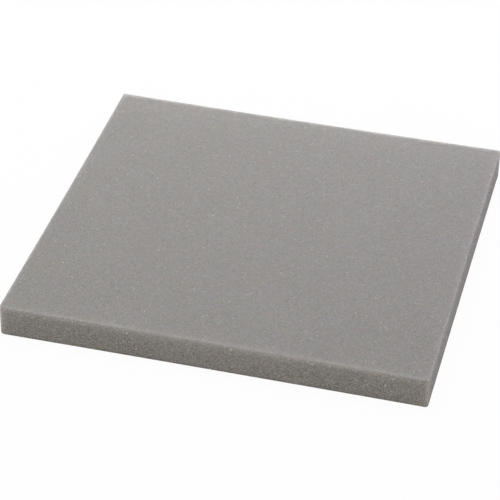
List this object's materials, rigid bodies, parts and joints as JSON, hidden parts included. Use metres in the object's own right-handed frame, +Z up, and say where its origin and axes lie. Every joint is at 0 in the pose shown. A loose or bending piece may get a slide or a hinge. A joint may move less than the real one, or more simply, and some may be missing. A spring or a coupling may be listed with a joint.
{
  "type": "foam block",
  "caption": "Flat square slab of soft open-cell foam with softly rolled cut edges and slightly drawn-in sides.",
  "frame": {"origin": "under the middle of the slab, on the surface that it lies on", "axes": "+X along the front side to the right, +Y from the front side to the back, +Z up out of the flat top"},
  "size_m": [0.3, 0.3, 0.022],
  "materials": {
    "foam": "matte"
  },
  "bodies": {
    "root": {"foam_block": "foam"}
  },
  "joints": []
}
